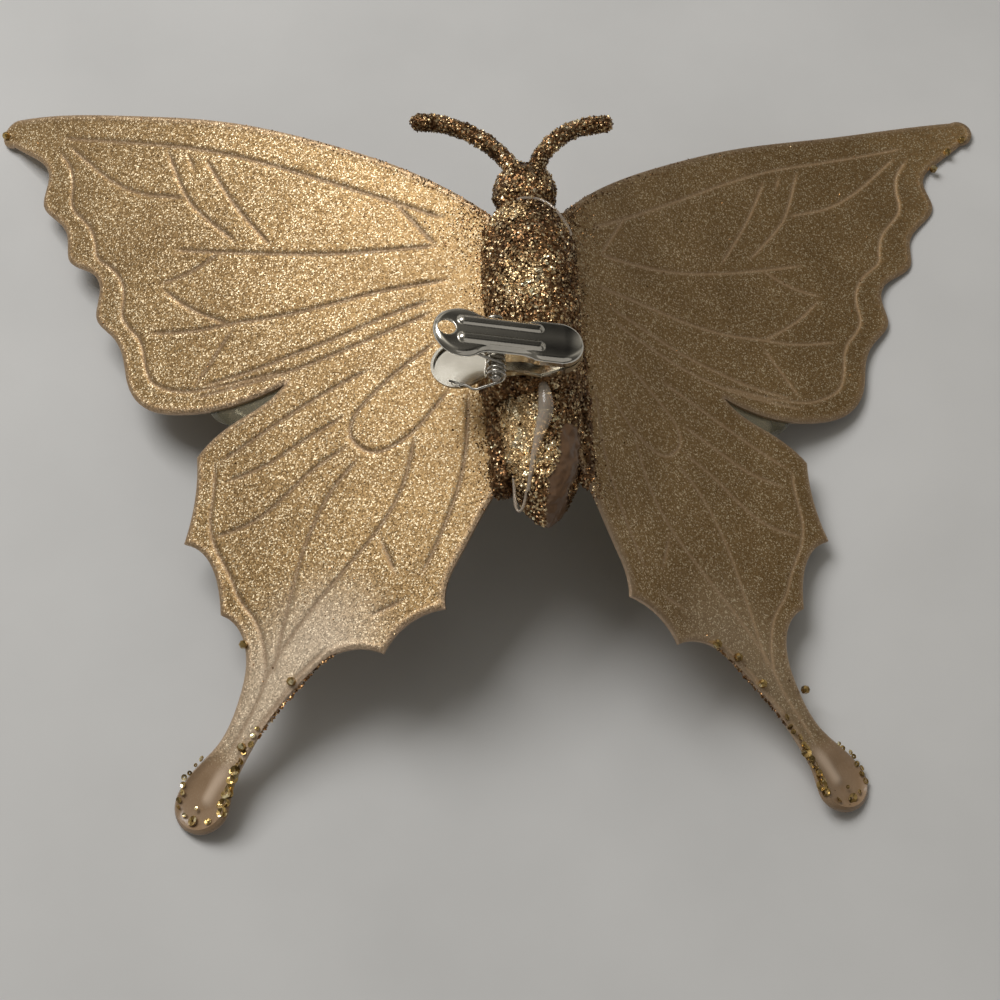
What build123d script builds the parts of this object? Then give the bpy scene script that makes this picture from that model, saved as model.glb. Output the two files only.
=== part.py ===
from build123d import *
import copy
import math
import os

# A clip-on butterfly ornament, lying on its wing tips and tail ends with the clip side up.
# Millimetres. While it is built, +X is the wing on the right with the head away from the viewer,
# +Y is towards the head, +Z is out of the clip side, and X = Y = 0 is the middle of the body.
# At the end everything is moved so that the origin is on the floor under the middle of the whole.

# Wing sheets
wing_length = 128.5
wing_thickness = 0.9
root_offset = 10.5
sheet_margin = 6.0
left_root_angle = 18.2
left_tip_angle = 35.3
left_turn = 0.0
left_inset = 0.0
left_fullness_share = -0.008
right_root_angle = 45.4
right_tip_angle = 0.8
right_turn = -0.9
right_inset = 1.1
right_fullness_share = 0.027

# The wing pattern laid flat, as shares of the wing length: outwards from the root line, then
# forwards of the line through the middle of the body
leading_edge_shares = [(-0.023, 0.187), (0.113, 0.302), (0.288, 0.411), (0.475, 0.507),
                       (0.693, 0.591), (0.879, 0.655), (0.960, 0.676)]
tip_shares = [(0.960, 0.676), (1.0, 0.660), (0.975, 0.625)]
fore_margin_shares = [(0.975, 0.625), (0.930, 0.588), (0.881, 0.5245), (0.893, 0.472), (0.867, 0.433),
                      (0.833, 0.386), (0.827, 0.333), (0.773, 0.290), (0.754, 0.255), (0.761, 0.198),
                      (0.724, 0.149), (0.700, 0.101), (0.690, 0.050), (0.660, 0.0), (0.576, -0.039),
                      (0.475, -0.051), (0.367, -0.036)]
hind_shoulder_shares = [(0.367, -0.036), (0.416, -0.066), (0.467, -0.083), (0.515, -0.106),
                        (0.542, -0.128)]
hind_side_shares = [(0.542, -0.128), (0.544, -0.187), (0.569, -0.277)]
hind_bay_shares = [(0.569, -0.277), (0.522, -0.315), (0.504, -0.358), (0.497, -0.417)]
tail_shares = [(0.497, -0.417), (0.460, -0.454), (0.449, -0.506), (0.464, -0.568), (0.505, -0.635),
               (0.555, -0.671), (0.589, -0.722), (0.573, -0.760), (0.534, -0.775), (0.495, -0.759),
               (0.481, -0.718), (0.459, -0.675), (0.419, -0.622), (0.356, -0.564), (0.296, -0.5245)]
inner_scallop_shares = [(0.296, -0.5245), (0.249, -0.521), (0.201, -0.537)]
inner_bay_shares = [(0.201, -0.537), (0.150, -0.492), (0.091, -0.481)]
inner_margin_shares = [(0.091, -0.481), (0.085, -0.436), (0.062, -0.398), (0.014, -0.325),
                       (-0.023, -0.281)]
left_rest_share = (1.0, 0.645)
right_rest_share = (0.890, 0.4615)
club_rest_share = (0.587, -0.733)

# Clear film wing laid against the front of each sheet, which shows in the notch
film_thickness = 0.25
film_gap = 0.15
film_front_shares = [(-0.023, 0.130), (0.220, 0.205), (0.400, 0.175), (0.495, 0.060), (0.511, -0.054),
                     (0.478, -0.080)]
film_back_shares = [(0.478, -0.080), (0.420, -0.180), (0.330, -0.290), (0.200, -0.385),
                    (0.095, -0.390), (-0.023, -0.270)]

# Body, turned about its long axis: half width and place of each station, then the head ball
body_over_roots = 2.8
body_tip = -49.0
body_stations = [(3.8, -47.0), (6.3, -43.5), (8.6, -32.0), (9.8, -16.0), (10.4, 0.0), (10.4, 12.0),
                 (8.8, 21.0)]
neck_front = 27.5
head_radius = 6.9
head_forward = 29.5

# Glitter glue that fills the corner between the body and each wing
flank_glue_half_width = 2.8
flank_glue_half_length = 32.0
flank_glue_half_height = 3.4
flank_glue_back = 9.5

# Antennae: a flocked sleeve on a wire that plugs into the head
antenna_radius = 1.85
antenna_wire_radius = 0.45
antenna_plug = 2.0
antenna_lift = 3.2
left_antenna_route = [(-2.2, 32.9), (-11.4, 43.5), (-22.9, 46.9)]
right_antenna_route = [(2.4, 33.0), (9.9, 43.2), (19.0, 45.8)]

# Steel clip. Along it is u, from the finger end to the jaw end, across it v, and out of it w.
# The hinge pin lies along v at u = w = 0.
clip_across = -10.0
clip_forward = -16.3
clip_rise = 15.1
clip_roll = -6.0
clip_yaw = -2.0
clip_sheet = 0.6
finger_reach = 13.2
finger_radius = 6.1
jaw_reach = 18.3
jaw_radius = 5.15
jaw_length = 9.0
plate_height = 5.5
plate_slope = 10.0
nose_length = 4.2
nose_height = 1.7
jaw_gap = 0.3
waist_half_width = 4.3
waist_blend = 5.0
edge_round = 1.2
steep_share = 0.95
flange_start = -1.0
rim_end = -2.0
flange_end = 10.0
upper_flange = 1.0
lower_flange = -2.5
rim_depth = 1.4
ear_radius = 2.1
ear_gap = 0.15
finger_hole_radius = 1.85
finger_hole_inset = 2.9
rib_radius = 1.4
rib_proud = 0.7
rib_spacing = 4.4
rib_start = -6.9
rib_end = 8.6
pin_radius = 1.0
pin_clearance = 0.05
pin_overhang = 0.4

# Double torsion spring on the pin: a coil outside each ear and a bridge between them
wire_radius = 0.3
coil_radius = 1.75
coil_pitch = 1.06
coil_whole_turns = 2
coil_ear_gap = 0.3
bridge_back = 7.6
bridge_half_width = 3.6
bridge_bend = 1.4
leg_back = 9.3
leg_half_width = 4.2
leg_seat_gap = 0.3
leg_lead = 4.6
leg_bend_share = 0.5

# Hot glue: the mound under the clip and the strands it left
mound_across = -1.5
mound_back = 16.5
mound_half_length = 11.0
mound_half_width = 8.6
mound_half_height = 13.5
strand_radius = 0.4
tail_glue_places = [(-1.0, -23.5), (-1.5, -27.5), (-2.1, -31.5), (-2.8, -35.5), (-3.5, -39.5),
                    (-4.2, -43.5)]
tail_glue_radii = [2.0, 1.3, 0.9, 0.65, 0.5, 0.4]
neck_strand_places = [(-2.4, 24.0), (0.2, 24.6), (2.6, 24.2), (5.0, 22.0), (7.2, 19.2), (9.0, 16.0)]

# Gold spangles and beads stuck along the tails and tips, as shares of the wing length
spangle_radius = 1.25
spangle_thickness = 0.35
left_spangle_shares = [(0.492, -0.700), (0.503, -0.676), (0.579, -0.695), (0.564, -0.739),
                       (0.516, -0.732), (0.526, -0.762)]
right_spangle_shares = [(0.489, -0.697), (0.487, -0.736), (0.503, -0.759), (0.528, -0.766),
                        (0.531, -0.664), (0.551, -0.680), (0.569, -0.702)]
bead_radius = 0.95
bead_height = 1.4
bead_bevel = 0.35
bead_sides = 6
stuck_gap = 0.02
left_bead_shares = [(0.453, -0.648), (0.360, -0.556), (0.447, -0.478), (0.985, 0.652)]
right_bead_shares = [(0.472, -0.570), (0.282, -0.520), (0.328, -0.535), (0.378, -0.573),
                     (0.975, 0.632), (0.940, 0.602), (0.905, 0.560)]

gap_samples = 600


class Wing:
    """One sheet: its side of the body, its bend and how it was glued on."""

    def __init__(self, side, root_angle, tip_angle, turn, inset, fullness_share, rest_share):
        self.side = side
        self.fullness_share = fullness_share
        self.root_angle = math.radians(root_angle)
        self.curl = (math.radians(root_angle) - math.radians(tip_angle)) / wing_length
        self.turn = math.radians(turn)
        self.inset = inset
        fore = self.glued(rest_share)
        club = self.glued(club_rest_share)
        self.pitch = (self.drop(fore[0]) - self.drop(club[0])) / (fore[1] - club[1])
        self.root_height = self.drop(fore[0]) - self.pitch * fore[1]

    def glued(self, share):
        """A point of the flat pattern after the sheet's small turn and inset."""
        out = share[0] * wing_length
        ahead = share[1] * wing_length
        turned_out = out * math.cos(self.turn) - ahead * math.sin(self.turn)
        turned_ahead = out * math.sin(self.turn) + ahead * math.cos(self.turn)
        return turned_out - self.inset, turned_ahead

    def angle(self, out):
        return self.root_angle - self.curl * out

    def reach(self, out):
        return root_offset + (math.sin(self.root_angle) - math.sin(self.angle(out))) / self.curl

    def drop(self, out):
        return (math.cos(self.angle(out)) - math.cos(self.root_angle)) / self.curl

    def plan(self, share):
        out, ahead = self.glued(share)
        return self.side * self.reach(out), ahead

    def section_point(self, out, lift):
        """A point of the sheet's section over Y = 0, lift above its under face."""
        slope = self.angle(out)
        across = self.reach(out) + lift * math.sin(slope)
        height = self.root_height - self.drop(out) + lift * math.cos(slope)
        return Vector(self.side * across, 0, height)

    def seat(self, share, lift):
        """The place and tilt of something stuck on the sheet, lift above its under face."""
        out, ahead = self.glued(share)
        place = self.section_point(out, lift) + Vector(0, ahead, self.pitch * ahead)
        tilt = self.side * math.degrees(self.angle(out))
        return Location(place, (math.degrees(math.atan(self.pitch)), tilt, 0))


def bent_sheet(wing, low, high):
    """The bent strip between two heights above the under face, longer than the wing."""
    first = -2 * sheet_margin
    last = wing_length + sheet_margin
    stops = (first, (first + last) / 2, last)
    under = ThreePointArc(*[wing.section_point(out, low) for out in stops])
    over = ThreePointArc(*[wing.section_point(out, high) for out in stops])
    ends = [Line(under @ 1, over @ 1), Line(over @ 0, under @ 0)]
    section = Face(Wire([under, ends[0], over, ends[1]]))
    start = Location((0, -wing_length, -wing_length * wing.pitch))
    return Solid.extrude(section.moved(start), Vector(0, 2 * wing_length, 2 * wing_length * wing.pitch))


def pattern_prism(wing, curves):
    """The flat pattern's outline, bent in plan, as an upright prism."""
    edges = []
    for kind, shares in curves:
        edges.append(kind(*[wing.plan(share) for share in shares]))
    outline = Pos(0, 0, -sheet_margin) * Face(Wire(edges))
    return Solid.extrude(outline, Vector(0, 0, wing_length))


def leading_edge(wing):
    """The pattern's front edge, fuller or flatter in its middle as this sheet was cut."""
    tip = leading_edge_shares[-1][0]
    return [(out, ahead + wing.fullness_share * math.sin(math.pi * out / tip))
            for out, ahead in leading_edge_shares]


def sheet_wing(wing):
    front = leading_edge(wing)
    root = [inner_margin_shares[-1], front[0]]
    curves = [(Spline, front), (ThreePointArc, tip_shares), (Spline, fore_margin_shares),
              (Spline, hind_shoulder_shares), (Spline, hind_side_shares), (Spline, hind_bay_shares),
              (Spline, tail_shares), (ThreePointArc, inner_scallop_shares),
              (ThreePointArc, inner_bay_shares), (Spline, inner_margin_shares), (Line, root)]
    return bent_sheet(wing, 0, wing_thickness) & pattern_prism(wing, curves)


def film_wing(wing):
    root = [film_back_shares[-1], film_front_shares[0]]
    curves = [(Spline, film_front_shares), (Spline, film_back_shares), (Line, root)]
    return bent_sheet(wing, -film_gap - film_thickness, -film_gap) & pattern_prism(wing, curves)


def body_place():
    height = (left.root_height + right.root_height) / 2 + body_over_roots
    pitch = math.degrees(math.atan((left.pitch + right.pitch) / 2))
    return Location((0, 0, height), (pitch, 0, 0))


def body_form():
    profile = Spline((0, body_tip), *body_stations, (0, neck_front))
    axis = Line((0, neck_front), (0, body_tip))
    return body_place() * revolve(Face(Wire([profile, axis])), Axis.Y)


def head_form():
    return body_place() * Pos(0, head_forward, 0) * Sphere(head_radius)


def top_of(solid, place):
    """The highest point of a solid over a place in plan."""
    upright = Axis((place[0], place[1], 0), (0, 0, 1))
    hits = [hit[0] for hit in solid.find_intersection_points(upright)]
    return max(hits, key=lambda hit: hit.Z)


def tube(path, radius):
    section = Plane(origin=path @ 0, z_dir=path % 0) * Circle(radius)
    return sweep(section, path=path)


def antenna_bend(route):
    height = (body_place() * Location((0, head_forward, 0))).position.Z + antenna_lift
    return ThreePointArc(*[Vector(x, y, height) for x, y in route])


def antenna_wire(route):
    bend = antenna_bend(route)
    plug = Line((bend @ 0) - (bend % 0) * antenna_plug, bend @ 0)
    return tube(Wire([plug, bend]), antenna_wire_radius)


def antenna_sleeve(route):
    bend = antenna_bend(route)
    ball = Sphere(antenna_radius)
    return tube(bend, antenna_radius) + Pos(bend @ 0) * ball + Pos(bend @ 1) * ball


def flank_glue(wing):
    """A long bead of glue along the body's side, above the sheet."""
    end = flank_glue_half_length - flank_glue_half_width
    rod = Rot(90, 0, 0) * Cylinder(flank_glue_half_width, 2 * end)
    for ahead in (-end, end):
        rod += Pos(0, ahead, 0) * Sphere(flank_glue_half_width)
    rod = scale(rod, by=(1, 1, flank_glue_half_height / flank_glue_half_width))
    middle = Pos(wing.side * root_offset, -flank_glue_back, -body_over_roots / 2)
    return body_place() * middle * rod - bent_sheet(wing, -4 * flank_glue_half_height, wing_thickness)


def largest(shape):
    return max(shape.solids(), key=lambda solid: solid.volume)


def clip_place():
    height = (body_place() * Location((0, clip_forward, 0))).position.Z + clip_rise
    return Location((clip_across, clip_forward, height)) * Rot(0, 0, clip_yaw) * Rot(clip_roll, 0, 0)


def plate_top(u):
    """How far the outside of a lever's straight plate stands off the closing plane."""
    return plate_height - u * math.tan(math.radians(plate_slope))


def side_block(outline):
    """A shape drawn in the clip's side view, wider than the clip."""
    half = finger_radius + sheet_margin
    return Solid.extrude(Face(Wire(outline)).moved(Location((0, -half, 0))), Vector(0, 2 * half, 0))


def side_polygon(corners):
    points = [Vector(u, 0, w) for u, w in corners]
    return side_block([Line(points[i - 1], points[i]) for i in range(len(points))])


def under_plate(sink):
    """Everything under a lever's top, sunk by sink, with the nose rounded down to the jaw end."""
    back = -finger_reach - sheet_margin
    bend = jaw_reach - nose_length
    drop = sink / math.cos(math.radians(plate_slope))
    low = -plate_top(-finger_reach)
    top = Line((back, 0, plate_top(back) - drop), (bend, 0, plate_top(bend) - drop))
    nose = TangentArc(top @ 1, (jaw_reach - sink, 0, nose_height - drop), tangent=top % 1)
    front = Line(nose @ 1, (jaw_reach - sink, 0, low))
    base = Line(front @ 1, (back, 0, low))
    return side_block([top, nose, front, base, Line(base @ 1, top @ 0)])


def lever_plan(inset):
    """The lever seen from above: round finger plate, waist and round jaw."""
    finger = Pos(finger_radius - finger_reach, 0) * Circle(finger_radius - inset)
    jaw_width = 2 * (jaw_radius - inset)
    jaw_middle = jaw_reach - (jaw_length + jaw_radius) / 2
    jaw = Pos(jaw_middle, 0) * SlotOverall(jaw_length + jaw_radius - 2 * inset, jaw_width)
    waist_start = finger_radius - finger_reach
    waist_end = jaw_reach - jaw_length
    waist = Rectangle(waist_end - waist_start, 2 * (waist_half_width - inset))
    plan = finger + Pos((waist_end + waist_start) / 2, 0) * waist + jaw
    side = waist_half_width - inset
    corners = [v for v in plan.vertices() if abs(abs(v.Y) - side) < clip_sheet / 100]
    return fillet(corners, waist_blend + inset)


def lever_block(inset):
    tall = plate_top(-finger_reach)
    prism = Pos(0, 0, -tall) * extrude(lever_plan(inset), amount=3 * tall)
    return prism & under_plate(inset)


def lever_outside():
    """The lever's outer form, with its top edge rounded all the way round."""
    block = lever_block(0)
    crease = jaw_reach - nose_length
    rim = [e for e in block.edges() if (e @ 0.5).Z > nose_height - clip_sheet]
    rim = [e for e in rim if abs((e % 0.5).Z) < steep_share and abs((e @ 0.5).X - crease) > clip_sheet / 100]
    return fillet(rim, edge_round)


def flange_block(reach_low, closing):
    """What a lever keeps in side view: its plate, its flanges down to reach_low and its jaw edge."""
    back = -finger_reach - sheet_margin
    front = jaw_reach + sheet_margin
    high = 2 * plate_top(back)
    return side_polygon([(back, high), (back, plate_top(back) - rim_depth),
                         (rim_end, plate_top(rim_end) - rim_depth), (flange_start, reach_low),
                         (flange_end, reach_low), (jaw_reach - nose_length, closing),
                         (front, closing), (front, high)])


def across_clip(radius, half):
    return Rot(90, 0, 0) * Cylinder(radius, 2 * half)


def finger_hole_place():
    u = finger_hole_inset - finger_reach
    depth = clip_sheet / 2 / math.cos(math.radians(plate_slope))
    return Location((u, 0, plate_top(u) - depth), (0, plate_slope, 0))


def ribs():
    """Two ribs pressed up along the lever, with round ends."""
    sunk = (rib_radius - rib_proud) / math.cos(math.radians(plate_slope))
    pair = []
    for side in (-1, 1):
        v = side * rib_spacing / 2
        path = Line((rib_start, v, plate_top(rib_start) - sunk), (rib_end, v, plate_top(rib_end) - sunk))
        rod = tube(path, rib_radius)
        for end in (path @ 0, path @ 1):
            rod += Pos(end) * Sphere(rib_radius)
        pair.append(rod - under_plate(clip_sheet / 2))
    return pair


def clip_upper_form():
    shell = lever_outside() - lever_block(clip_sheet)
    lobes = across_clip(ear_radius, waist_half_width)
    lever = shell & (flange_block(upper_flange, jaw_gap / 2) + lobes)
    for rib in ribs():
        lever += rib
    lever -= finger_hole_place() * Cylinder(finger_hole_radius, 4 * clip_sheet)
    return lever - across_clip(pin_radius + pin_clearance, waist_half_width + clip_sheet)


def clip_lower_form():
    shell = lever_outside() - lever_block(clip_sheet)
    ear_half = waist_half_width - clip_sheet - ear_gap
    tab = side_polygon([(-ear_radius, 0), (ear_radius, 0), (ear_radius, plate_top(0)),
                        (-ear_radius, plate_top(0))]) + across_clip(ear_radius, ear_half)
    walls = Box(2 * jaw_reach, 2 * ear_half, 4 * plate_height) - Box(
        2 * jaw_reach, 2 * (ear_half - clip_sheet), 4 * plate_height)
    ears = tab & walls & lever_block(clip_sheet / 2)
    lever = (shell & flange_block(-lower_flange, jaw_gap / 2)) + ears
    lever = mirror(lever, about=Plane.XY)
    return lever - across_clip(pin_radius + pin_clearance, waist_half_width + clip_sheet)


def spring_coil_end():
    """How far out along the pin the coil's outer turn lies."""
    inner = waist_half_width + coil_ear_gap + wire_radius
    return inner + coil_pitch * coil_angle() / (2 * math.pi)


def bridge_point():
    seat = plate_top(-bridge_back) - clip_sheet / math.cos(math.radians(plate_slope))
    return Vector(-bridge_back, bridge_half_width, seat - wire_radius - leg_seat_gap)


def leg_point():
    seat = plate_top(-leg_back) - clip_sheet / math.cos(math.radians(plate_slope))
    return Vector(-leg_back, leg_half_width, wire_radius + leg_seat_gap - seat)


def tangent_angle(point):
    """Where a leg to this point leaves the coil on the jaw side, as an angle from u."""
    away = math.atan2(abs(point.Z), point.X)
    return away - math.acos(coil_radius / math.hypot(point.X, point.Z))


def coil_angle():
    return tangent_angle(bridge_point()) + tangent_angle(leg_point()) + coil_whole_turns * 2 * math.pi


def coil_state(angle):
    """Point and direction on the coil of the +v side, angle measured from its outer end."""
    turn = angle - tangent_angle(leg_point())
    rise = -coil_pitch / (2 * math.pi)
    point = Vector(coil_radius * math.cos(turn), spring_coil_end() + rise * angle,
                   coil_radius * math.sin(turn))
    return point, Vector(-coil_radius * math.sin(turn), rise, coil_radius * math.cos(turn)).normalized()


def biarc(start, start_way, end, end_way):
    """Two arcs that leave start and reach end along the given directions."""
    chord = end - start
    along = chord.dot(start_way + end_way)
    spread = 2 * (1 - start_way.dot(end_way))
    reach = (math.sqrt(along ** 2 + spread * chord.dot(chord)) - along) / spread
    first = start + start_way * reach
    second = end - end_way * reach
    middle = (first + second) / 2
    return [TangentArc(start, middle, tangent=start_way),
            TangentArc(middle, end, tangent=(second - first).normalized())]


def leg(start, way, end):
    """A leg that leaves the coil straight, clears the ears and then bends in to its end."""
    lead = start + way * leg_lead
    bend_way = (end - lead).normalized()
    bent = lead + (end - lead) * leg_bend_share
    return [Line(start, lead)] + biarc(lead, way, bent, bend_way) + [Line(bent, end)]


def half_spring():
    """The +v half of the spring's route, from its leg on the lower plate to the bridge's middle."""
    start, start_way = coil_state(0)
    edges = leg(start, -start_way, leg_point())
    edges = [edge.reversed() for edge in reversed(edges)]
    steps = math.ceil(coil_angle() / math.pi)
    for step in range(steps):
        here = coil_state(coil_angle() * step / steps)
        onward = coil_state(coil_angle() * (step + 1) / steps)
        edges += biarc(*here, *onward)
    end, end_way = coil_state(coil_angle())
    rise = leg(end, end_way, bridge_point())
    rise_way = rise[-1] % 1
    corner = bridge_point() - rise_way * bridge_bend
    over = bridge_point() - Vector(0, bridge_bend, 0)
    edges += rise[:-1] + [Line(rise[-1] @ 0, corner)] + biarc(corner, rise_way, over, Vector(0, -1, 0))
    return edges + [Line(over, Vector(over.X, 0, over.Z))]


def spring_route():
    half = half_spring()
    other = [edge.mirror(Plane.XZ) for edge in reversed(half)]
    return Wire(half + other)


def report_spring_gap(route):
    """Least clear gap between parts of the spring that are over half a turn apart."""
    points = [route.position_at(i / gap_samples) for i in range(gap_samples + 1)]
    apart = math.ceil(math.pi * coil_radius / (route.length / gap_samples))
    least = min((points[i] - points[j]).length
                for i in range(len(points)) for j in range(i + apart, len(points)))
    print("spring: least gap to itself, mm", round(least - 2 * wire_radius, 3))


def pin_form():
    half = spring_coil_end() + wire_radius + pin_overhang
    pin = across_clip(pin_radius, half)
    return chamfer(pin.edges(), pin_radius / 4)


def glue_mound(body):
    """The glue between the clip's lower jaw and the body."""
    mound = scale(Sphere(mound_half_length), by=(1, mound_half_width / mound_half_length,
                                                 mound_half_height / mound_half_length))
    mound = body_place() * Pos(mound_across, -mound_back, 0) * mound
    above = clip_place() * mirror(under_plate(0), about=Plane.XY)
    mound -= above
    mound -= body
    for wing in (left, right):
        mound -= bent_sheet(wing, -2 * mound_half_height, wing_thickness)
    return mound


def strand(places, radii, carrier):
    """A thread of glue that follows the top of what it lies on, partly sunk in it."""
    points = [top_of(carrier, place) + Vector(0, 0, radii[-1] / 2) for place in places]
    path = Spline(*points)
    sections = []
    for i in range(len(points)):
        at = i / (len(points) - 1)
        sections.append(Plane(origin=path @ at, z_dir=path % at) * Circle(radii[i]))
    return loft(sections)


def stuck(wing, shares, piece):
    """Copies of a piece that stands on its own X-Y plane, stuck on the wing."""
    return [wing.seat(share, wing_thickness + stuck_gap) * piece for share in shares]


def spangle():
    return extrude(Circle(spangle_radius), amount=spangle_thickness)


def bead():
    """A cut bead that lies on its flat end, with its upper edge bevelled."""
    block = extrude(RegularPolygon(bead_radius, bead_sides), amount=bead_height)
    return chamfer(block.faces().sort_by(Axis.Z)[-1].edges(), bead_bevel)


left = Wing(-1, left_root_angle, left_tip_angle, left_turn, left_inset, left_fullness_share, left_rest_share)
right = Wing(1, right_root_angle, right_tip_angle, right_turn, right_inset, right_fullness_share,
             right_rest_share)


def clip_parts():
    return {"clip_lower": clip_lower_form(), "clip_upper": clip_upper_form(), "clip_pin": pin_form(),
            "clip_spring": tube(spring_route(), wire_radius)}


def butterfly():
    """Every node of the ornament, in the frame that it is built in."""
    sheets = {left: sheet_wing(left), right: sheet_wing(right)}
    films = {left: film_wing(left), right: film_wing(right)}
    body = body_form()
    head = head_form()
    mound = glue_mound(body)
    wires = {left: antenna_wire(left_antenna_route), right: antenna_wire(right_antenna_route)}
    sleeves = {left: antenna_sleeve(left_antenna_route), right: antenna_sleeve(right_antenna_route)}
    nodes = {}
    cut_body = body - head
    cut_head = head
    for wing, side in ((left, "left"), (right, "right")):
        nodes["wing_" + side] = sheets[wing]
        nodes["film_" + side] = films[wing]
        nodes["flank_glue_" + side] = largest(flank_glue(wing) - body - mound)
        nodes["antenna_" + side] = sleeves[wing] - wires[wing] - head
        nodes["antenna_wire_" + side] = wires[wing]
        cut_body = cut_body - sheets[wing] - films[wing]
        cut_head = cut_head - wires[wing]
    nodes["body"] = cut_body
    nodes["head"] = cut_head
    nodes["glue_mound"] = mound
    nodes["glue_strand_tail"] = strand(tail_glue_places, tail_glue_radii, body + mound) - body - mound
    neck_radii = [strand_radius] * len(neck_strand_places)
    nodes["glue_strand_neck"] = strand(neck_strand_places, neck_radii, body) - body - head
    for name, piece in clip_parts().items():
        nodes[name] = clip_place() * piece
    for wing, side, spangles, beads in ((left, "left", left_spangle_shares, left_bead_shares),
                                        (right, "right", right_spangle_shares, right_bead_shares)):
        nodes["spangles_" + side] = stuck(wing, spangles, spangle())
        nodes["beads_" + side] = stuck(wing, beads, bead())
    return nodes


def solids_of(piece):
    pieces = piece if isinstance(piece, list) else [piece]
    return [solid for one in pieces for solid in one.solids()]


def say(name, vector):
    print(name, [round(value, 3) for value in (vector.X, vector.Y, vector.Z)])


nodes = {name: Compound(children=solids_of(piece)) for name, piece in butterfly().items()}
box = Compound(children=[copy.copy(node) for node in nodes.values()]).bounding_box()
place = Location((-box.center().X, -box.center().Y, -box.min.Z))
os.makedirs("parts", exist_ok=True)
for name, node in nodes.items():
    export_step(place * node, "parts/" + name + ".step")

hinge = place * clip_place()
pin_way = (hinge * Location((0, -1, 0))).position - hinge.position
hole = hinge * finger_hole_place()
hole_way = (hole * Location((0, 0, 1))).position - hole.position
jaw = hinge * Location((jaw_reach, 0, 0))
jaw_way = jaw.position - hinge.position
say("moved by", place.position)
say("size", box.size)
say("hinge at", hinge.position)
say("hinge axis", pin_way)
say("finger hole at", hole.position)
say("finger hole axis", hole_way)
say("jaw end at", jaw.position)
say("jaw way", jaw_way.normalized())
report_spring_gap(spring_route())
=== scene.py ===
import math
import bmesh
import bpy
import numpy as np
from mathutils import Matrix, Vector, noise
from mathutils.geometry import delaunay_2d_cdt


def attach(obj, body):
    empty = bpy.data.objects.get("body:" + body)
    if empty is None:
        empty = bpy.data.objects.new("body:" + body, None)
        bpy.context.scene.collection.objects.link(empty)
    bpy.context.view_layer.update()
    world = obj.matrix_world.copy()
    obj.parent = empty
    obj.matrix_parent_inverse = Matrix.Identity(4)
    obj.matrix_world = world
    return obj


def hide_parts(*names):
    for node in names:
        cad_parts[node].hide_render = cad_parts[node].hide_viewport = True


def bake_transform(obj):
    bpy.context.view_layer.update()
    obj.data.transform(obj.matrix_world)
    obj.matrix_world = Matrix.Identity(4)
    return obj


# A clip-on glitter butterfly that lies on its wing tips and tail ends, with the clip side up.
# Metres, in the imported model's frame. Lengths of the wing pattern are in millimetres.

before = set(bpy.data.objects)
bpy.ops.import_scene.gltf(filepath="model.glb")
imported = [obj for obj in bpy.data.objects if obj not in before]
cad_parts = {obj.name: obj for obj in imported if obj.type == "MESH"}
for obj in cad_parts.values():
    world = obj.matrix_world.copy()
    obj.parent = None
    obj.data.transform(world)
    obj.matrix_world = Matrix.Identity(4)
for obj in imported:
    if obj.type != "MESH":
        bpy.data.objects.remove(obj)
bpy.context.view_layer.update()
MM = 0.001

# Where the foot under the middle of the body lies in the frame, in millimetres
BODY_MIDDLE = Vector((-0.461, 6.861, 0.096))

# How far the front edge runs along the pattern, and how deep the part is that follows its fullness
FRONT_LENGTH = 123.4
FRONT_DEPTH = 60.0

# Rounds of the search for the sheet's point over a place in plan
FLATTEN_ROUNDS = 12


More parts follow.
